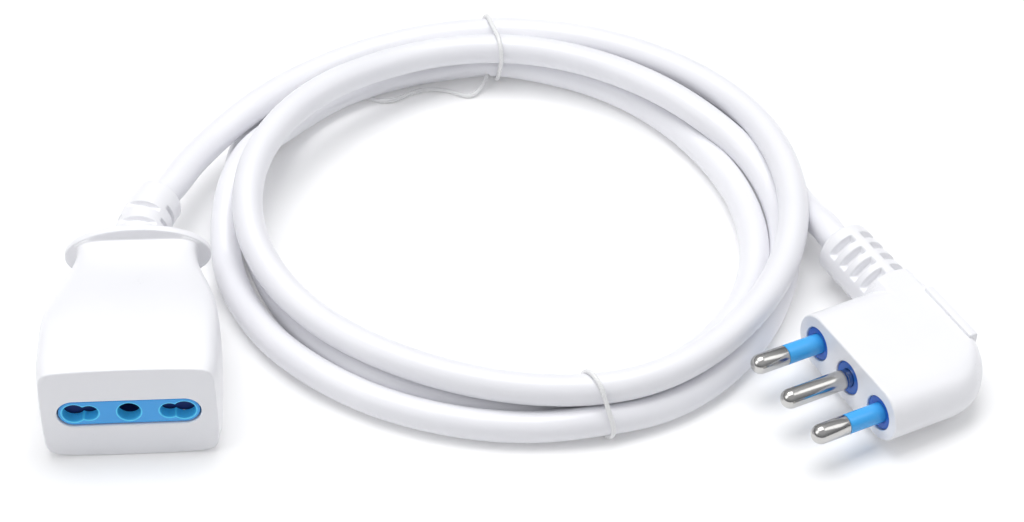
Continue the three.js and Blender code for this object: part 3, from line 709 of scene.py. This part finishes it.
def stadium(half_width, half_height):
    straight = half_width - half_height

    def curve(t):
        share = t / (math.pi / 2)
        bend_start = straight / (straight + half_height * math.pi / 2)
        if share < bend_start:
            return straight * share / bend_start, half_height
        angle = (share - bend_start) / (1 - bend_start) * math.pi / 2
        return straight + half_height * math.sin(angle), half_height * math.cos(angle)
    return even_quarters(curve)


# The flange: how far behind the socket's face, and what share of its full rise.
FLANGE = [(53.6, 0.0), (54.3, 0.05), (54.6, 0.16), (54.75, 0.4), (54.8, 0.8), (54.86, 0.93), (55.0, 0.985),
          (55.3, 1.0), (56.2, 1.0), (56.6, 0.98), (56.85, 0.94), (57.0, 0.86)]


def socket_section(y):
    """Half width, half height and squareness of the housing, y millimetres behind its face."""
    slope_start, waist = 12.0, 53.6
    t = min(max((y - slope_start) / (waist - slope_start), 0.0), 1.0)
    half_width = mix(20.95 + 0.65 * smoothstep(y / 6.0), 14.9, smoothstep(t**1.6))
    half_height = mix(14.15 + 0.4 * smoothstep(y / 8.0), 5.9, smoothstep(t))
    squareness = mix(12.0, 5.5, smoothstep(t))
    if y > waist:
        rise = float(np.interp(y, [place for place, _ in FLANGE], [share for _, share in FLANGE]))
        half_width = mix(half_width, 18.2, rise)
        half_height = mix(half_height, 8.9, rise)
        squareness = mix(squareness, 2.15, min(1.0, rise * 1.3))
    return half_width, half_height, squareness


def socket_rings():
    """Rings from inside the insert's opening, over the face and the body to the cable end."""
    def ring(outline, y):
        return [(x, SOCKET_FACE_Y + y, max(0.0, SOCKET_AXIS_Z + z)) for x, z in outline]

    rings = []
    open_width, open_height, lip = 17.05, 4.05, 0.3
    for depth in (3.4, 1.6, lip):
        rings.append(ring(stadium(open_width, open_height), depth))
    for step in (1, 2, 3):
        turn = step / 3 * math.pi / 2
        grow = lip * (1 - math.cos(turn))
        rings.append(ring(stadium(open_width + grow, open_height + grow), lip - lip * math.sin(turn)))
    edge = 0.5
    half_width, half_height, squareness = socket_section(0.0)
    inner = stadium(open_width + lip, open_height + lip)
    outer = bowed_rectangle(half_width - edge, half_height - edge, squareness)
    for share in (0.06, 0.3, 0.6, 0.9, 1.0):
        rings.append(ring(mix(inner, outer, share), 0.0))
    for step in range(1, 7):
        turn = step / 6 * math.pi / 2
        inset = edge * (1 - math.sin(turn))
        outline = bowed_rectangle(half_width - inset, half_height - inset, squareness)
        rings.append(ring(outline, edge * (1 - math.cos(turn))))
    body = np.concatenate((np.linspace(1.2, 53.0, 54), [place for place, _ in FLANGE]))
    for y in body:
        rings.append(ring(bowed_rectangle(*socket_section(y)), y))
    half_width, half_height, squareness = socket_section(SOCKET_LENGTH)
    for share in (0.97, 0.8, 0.5, 0.33):
        outline = bowed_rectangle(half_width * share, half_height * share, squareness)
        rings.append(ring(outline, SOCKET_LENGTH + 0.3 * (1 - share)))
    return rings


def make_socket_body():
    body = skin("socket_body", socket_rings(), caps=False)
    add_modifier(body, "WEIGHTED_NORMAL", keep_sharp=True, weight=60)
    bake_modifiers(body)
    return belongs(body, FINISHES["white_plastic"], "socket_housing")


def make_insert():
    """The blue plate: a slot-shaped outline with a round hole and two figure-of-eight holes."""
    curve = bpy.data.curves.new("insert_outline", "CURVE")
    curve.dimensions = "2D"
    curve.fill_mode = "BOTH"
    bevel = 0.28
    curve.extrude = (1.5 - bevel) * MM
    curve.bevel_depth = bevel * MM
    curve.bevel_resolution = 3
    outlines = [stadium(16.75 - bevel, 3.75 - bevel), circle_points(0, 2.75 + bevel, 48)]
    for side in (-1, 1):
        outlines.append(keyhole(side, 13.0, 2.75 + bevel, 9.5, 2.25 + bevel))
    for outline in outlines:
        spline = curve.splines.new("POLY")
        spline.points.add(len(outline) - 1)
        for point, (x, y) in zip(spline.points, outline):
            point.co = (x * MM, y * MM, 0, 1)
        spline.use_cyclic_u = True
    shape = bpy.data.objects.new("insert_outline", curve)
    bpy.context.scene.collection.objects.link(shape)
    bpy.context.view_layer.update()
    graph = bpy.context.evaluated_depsgraph_get()
    mesh = bpy.data.meshes.new_from_object(shape.evaluated_get(graph))
    bpy.data.objects.remove(shape, do_unlink=True)
    upright = Matrix.Translation((0, SOCKET_FACE_Y + 0.4 + 1.5, SOCKET_AXIS_Z)) @ Matrix.Rotation(math.pi / 2, 4, "X")
    mesh.transform(Matrix.Scale(1 / MM, 4))
    outwards(mesh)
    plate = piece_from_mesh("socket_plate", mesh, upright)
    add_modifier(plate, "WEIGHTED_NORMAL", keep_sharp=True, weight=60)
    bake_modifiers(plate)
    return belongs(plate, FINISHES["blue_plastic"], "socket_insert")


def make_springs():
    """The shutter's two return springs, coiled within their solids' boxes."""
    for side in ("left", "right"):
        node = "shutter_spring_" + side
        low, high = (np.array(corner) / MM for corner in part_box(node))
        middle = (low + high) / 2
        reach = (high[0] - low[0]) / 2 - SPRING_WIRE_RADIUS
        turn = np.linspace(0, SPRING_TURNS * TAU, SPRING_TURNS * 24 + 1)
        height = np.linspace(low[2] + SPRING_WIRE_RADIUS, high[2] - SPRING_WIRE_RADIUS, len(turn))
        line = np.stack((middle[0] + reach * np.cos(turn), middle[1] + reach * np.sin(turn), height), axis=1)
        spring = skin("return_spring_" + side, tube_rings(line, SPRING_WIRE_RADIUS, 10))
        belongs(spring, FINISHES["spring_steel"], node)
        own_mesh(spring)


def circle_points(x, radius, count):
    return [(x + radius * math.cos(a), radius * math.sin(a)) for a in np.arange(count) * TAU / count]


def keyhole(side, outer_x, outer_radius, inner_x, inner_radius):
    """Two overlapping circles as one outline."""
    gap = outer_x - inner_x
    meet = (gap**2 + outer_radius**2 - inner_radius**2) / (2 * gap)
    height = math.sqrt(outer_radius**2 - meet**2)
    outer_turn = math.atan2(height, -meet)
    inner_turn = math.atan2(height, gap - meet)
    outer = np.linspace(-outer_turn, outer_turn, 40)
    inner = np.linspace(inner_turn, TAU - inner_turn, 28)[1:-1]
    points = [(outer_x + outer_radius * math.cos(a), outer_radius * math.sin(a)) for a in outer]
    points += [(inner_x + inner_radius * math.cos(a), inner_radius * math.sin(a)) for a in inner]
    return [(side * x, z) for x, z in points]


# ---------------------------------------------------------------- strain reliefs

def boot_rings(length, outer, slots, floor, rows=150, sides=160, lip=0.8, root=0.0):
    """A slotted boot along y. Each slot is (place along, width, angle of its middle, half span)."""
    places = np.linspace(-root, length, rows)
    angles = np.arange(sides) * TAU / sides
    rings = []
    for y in places:
        radius = np.full(sides, outer(y))
        for along, width, middle, half_span in slots:
            away = np.abs(np.angle(np.exp(1j * (angles - math.radians(middle)))))
            across = radius * np.sin(np.minimum(away, math.pi / 2))
            band = 1 - smoothstep((abs(y - along) - width / 2 + 0.15) / 0.3)
            window = 1 - smoothstep((across - half_span + 0.25) / 0.5)
            window = np.where(away < math.pi / 2, window, 0.0)
            flat = floor / np.maximum(np.cos(away), 0.3)
            depth = np.maximum(radius - flat, 0.0)
            radius = radius - depth * band * window
        rings.append(np.stack((radius * np.sin(angles), np.full(sides, y), radius * np.cos(angles)), axis=1))
    last = rings[-1]
    for step in range(1, 5):
        turn = step / 4 * math.pi / 2
        size = outer(length)
        shrink = (size - lip * (1 - math.cos(turn))) / size
        ring = last.copy() * (shrink, 1, shrink)
        ring[:, 1] = length + lip * math.sin(turn) * 0.6
        rings.append(ring)
    mouth = rings[-1].copy()
    share = (CABLE_RADIUS - 0.1) / (outer(length) - lip)
    rings.append(mouth * (share, 1, share))
    deeper = rings[-1].copy()
    deeper[:, 1] -= 2.0
    rings.append(deeper)
    return np.array(rings)


def make_socket_boot():
    relief = SOCKET_RELIEF
    length = relief["length"]

    def outer(y):
        return mix(relief["base"], relief["end"], y / length)

    slots = []
    for i in range(4):
        along = length - 6.3 - 2.95 * i
        middles = (90, -90) if i % 2 == 0 else (0, 180)
        slots += [(along, 1.5, middle, 5.4) for middle in middles]
    rings = boot_rings(length - 0.5, outer, slots, 5.0, lip=1.4)
    turn = math.radians(relief["bend"])
    radius = length / turn
    bent = rings.copy()
    angle = rings[..., 1] / length * turn
    reach = radius - rings[..., 0]
    bent[..., 0] = radius - reach * np.cos(angle)
    bent[..., 1] = reach * np.sin(angle)
    bent += (0, SOCKET_LENGTH / 2, SOCKET_AXIS_Z)
    boot = skin("socket_boot", bent, caps=False)
    return belongs(boot, FINISHES["white_plastic"], "socket_strain_relief")


def make_plug_boot(plug):
    slots = []
    for i in range(4):
        along = PLUG_RELIEF_LENGTH - 4.9 - 4.4 * i
        slots += [(along, 2.1, middle, 3.5) for middle in (40, 140, 220, 320)]
    rings = boot_rings(PLUG_RELIEF_LENGTH - 1.0, lambda y: PLUG_RELIEF_RADIUS, slots, 5.0, lip=1.9, root=8.5)
    root = 1 - smoothstep((rings[..., 1] - 0.2) / 1.0)
    flat_top = np.clip(rings[..., 2] * (1 + 0.14 * root), -7.15, 7.15)
    rings[..., 0] *= 1 + 0.1 * root
    rings[..., 2] = mix(rings[..., 2], flat_top, root)
    rings += (PLUG_RELIEF_X, PLUG_HALF_WIDTH - 0.2, 0)
    boot = skin("plug_boot", rings, plug, caps=False)
    return belongs(boot, FINISHES["white_plastic"], "plug_strain_relief")


# ---------------------------------------------------------------- plug

def plug_place():
    turn = {key: math.radians(value) for key, value in PLUG_TURN.items()}
    matrix = Matrix.Translation(PLUG_ORIGIN)
    matrix @= Matrix.Rotation(turn["yaw"], 4, "Z")
    matrix @= Matrix.Rotation(turn["pitch"], 4, "Y")
    return matrix @ Matrix.Rotation(turn["roll"], 4, "X")


def plug_ring(x, near, far, half_thickness):
    """A section of the plug: flat above and below, its two sides fully rounded."""
    arc = 24
    points = []
    for side, end in ((1, far), (-1, near)):
        for i in range(arc + 1):
            angle = side * math.pi / 2 - i / arc * math.pi
            y = end - side * half_thickness + half_thickness * math.cos(angle)
            points.append((x, y, half_thickness * math.sin(angle)))
        top = half_thickness * (-side)
        start_y = end - side * half_thickness
        other = near + half_thickness if side == 1 else far - half_thickness
        for i in range(1, 12):
            points.append((x, mix(start_y, other, i / 12), top))
    return points


def plug_rings():
    rings = []
    edge = 0.55
    for step in range(6):
        turn = step / 5 * math.pi / 2
        inset = edge * (1 - math.sin(turn))
        x = edge * (1 - math.cos(turn))
        rings.append(plug_ring(x, inset - PLUG_HALF_WIDTH, PLUG_HALF_WIDTH - inset, PLUG_HALF_THICKNESS - inset))
    corner_x = PLUG_DEPTH - PLUG_CORNER
    for x in np.linspace(3.0, corner_x, 8):
        rings.append(plug_ring(x, -PLUG_HALF_WIDTH, PLUG_HALF_WIDTH, PLUG_HALF_THICKNESS))
    steps = 28
    for step in range(1, steps + 1):
        turn = step / steps * math.pi / 2
        x = corner_x + PLUG_CORNER * math.sin(turn)
        near = -PLUG_HALF_WIDTH + PLUG_CORNER * (1 - math.cos(turn))
        back = max(0.0, (x - PLUG_DEPTH + 4.2) / 4.2)
        round_off = 4.2 * (1 - math.sqrt(max(0.0, 1 - back * back)))
        far_round = 1.2 * (1 - math.sqrt(max(0.0, 1 - max(0.0, (x - PLUG_DEPTH + 1.2) / 1.2) ** 2)))
        half = PLUG_HALF_THICKNESS - 0.75 * round_off
        rings.append(plug_ring(x, near, PLUG_HALF_WIDTH - far_round, half))
    return rings


def plug_ridge():
    """The finger ridge: a bar on the rounded rear edge, its top just above the plug's."""
    front, back, bottom, top = 30.2, 32.8, 3.0, 7.9
    near, far = -7.0, 12.2
    rings = []
    for inset, y in ((0.35, near), (0.1, near + 0.12), (0.0, near + 0.4), (0.0, 2.6), (0.0, far - 0.9),
                     (0.25, far - 0.4), (0.8, far)):
        ring = []
        for a in np.arange(48) * TAU / 48:
            across = math.copysign(abs(math.cos(a)) ** 0.36, math.cos(a)) * ((back - front) / 2 - inset * 0.5)
            up = math.copysign(abs(math.sin(a)) ** 0.36, math.sin(a)) * ((top - bottom) / 2 - inset * 0.5)
            ring.append(((front + back) / 2 + across, y, (bottom + top) / 2 - inset * 0.5 + up))
        rings.append(ring)
    return rings


def make_plug_body(plug):
    body = skin("plug_body", plug_rings(), plug)
    cutters = []
    for y in (-PIN_SPACING, 0, PIN_SPACING):
        profile = [(-2.0, COLLAR_RADIUS + 0.06), (3.2, COLLAR_RADIUS + 0.06)]
        cutters.append(turned("bore", profile, 64, plug @ Matrix.Translation((0, y, -0.3))))
    cut_away(body, cutters)
    soften(body, 0.3, angle=50.0)
    belongs(body, FINISHES["white_plastic"], "plug_housing")
    ridge = skin("plug_ridge", plug_ridge(), plug)
    ridge.data.materials.append(FINISHES["white_plastic"])
    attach(ridge, CORD)
    return [body, ridge]


def round_nose(length, radius, steps=10):
    points = []
    for i in range(steps + 1):
        turn = i / steps * math.pi / 2
        points.append((-length + radius * (1 - math.cos(turn)), max(radius * math.sin(turn), 0.01)))
    return points


def make_pins(plug):
    pieces = []
    collars = []
    for name, y in (("line", PIN_SPACING), ("earth", 0.0), ("neutral", -PIN_SPACING)):
        spot = plug @ Matrix.Translation((0, y, -0.3))
        profile = round_nose(PIN_LENGTH, PIN_RADIUS)
        if name == "earth":
            profile += [(-1.5, 2.5), (-1.2, 2.42), (-0.9, 2.2), (9.0, 2.2)]
        else:
            start = -SLEEVE_LENGTH - 0.12
            profile += [(start - 0.12, 2.5), (start, 2.42), (start, 1.8), (9.0, 1.8)]
            sleeve = [(-SLEEVE_LENGTH, 2.1), (-SLEEVE_LENGTH, 2.42), (-SLEEVE_LENGTH + 0.1, 2.5), (5.0, 2.5), (5.0, 2.1)]
            tube = turned("sleeve_" + name, sleeve, 48, spot, closed=True)
            sharpen(tube)
            pieces.append(belongs(tube, FINISHES["blue_sleeve"], "pin_sleeve_" + name))
        pin = turned("prong_" + name, profile, 48, spot)
        sharpen(pin)
        pieces.append(belongs(pin, FINISHES["nickel"], "pin_" + name))
        bore = 2.24 if name == "earth" else 2.54
        front = COLLAR_RECESS
        ring = [
            (front + 3.4, bore), (front + 0.35, bore), (front + 0.1, bore + 0.1), (front, bore + 0.35),
            (front, COLLAR_RADIUS - 0.35), (front + 0.1, COLLAR_RADIUS - 0.1), (front + 0.35, COLLAR_RADIUS),
            (front + 3.4, COLLAR_RADIUS),
        ]
        collars.append(turned("collar_" + name, ring, 64, spot, closed=True))
    moulding = join(collars, "pin_moulding")
    sharpen(moulding)
    pieces.append(belongs(moulding, FINISHES["collar_blue"], "pin_bridge"))
    return pieces


def sharpen(piece, angle=35.0):
    piece.data.set_sharp_from_angle(angle=math.radians(angle))


def join(pieces, name):
    work = bmesh.new()
    for piece in pieces:
        work.from_mesh(piece.data)
        bpy.data.objects.remove(piece, do_unlink=True)
    mesh = bpy.data.meshes.new(name)
    work.to_mesh(mesh)
    work.free()
    mesh.shade_smooth()
    joined = bpy.data.objects.new(name, mesh)
    bpy.context.scene.collection.objects.link(joined)
    return joined


# ---------------------------------------------------------------- the whole scene

make_camera()
route = cable_route()
cable = make_cable(route)
plug = plug_place()
on_the_cable = make_plug_body(plug) + make_pins(plug) + [make_plug_boot(plug), make_socket_boot()]
for node in ("crimp_line", "crimp_earth", "crimp_neutral", "plug_core_brown", "plug_core_earth", "plug_core_blue"):
    on_the_cable.append(bpy.data.objects[node])
make_socket_body()
make_insert()
make_springs()
make_ties(route)
[tuple(point) for point in route * MM]
finish_solids()
make_floor()
make_light()
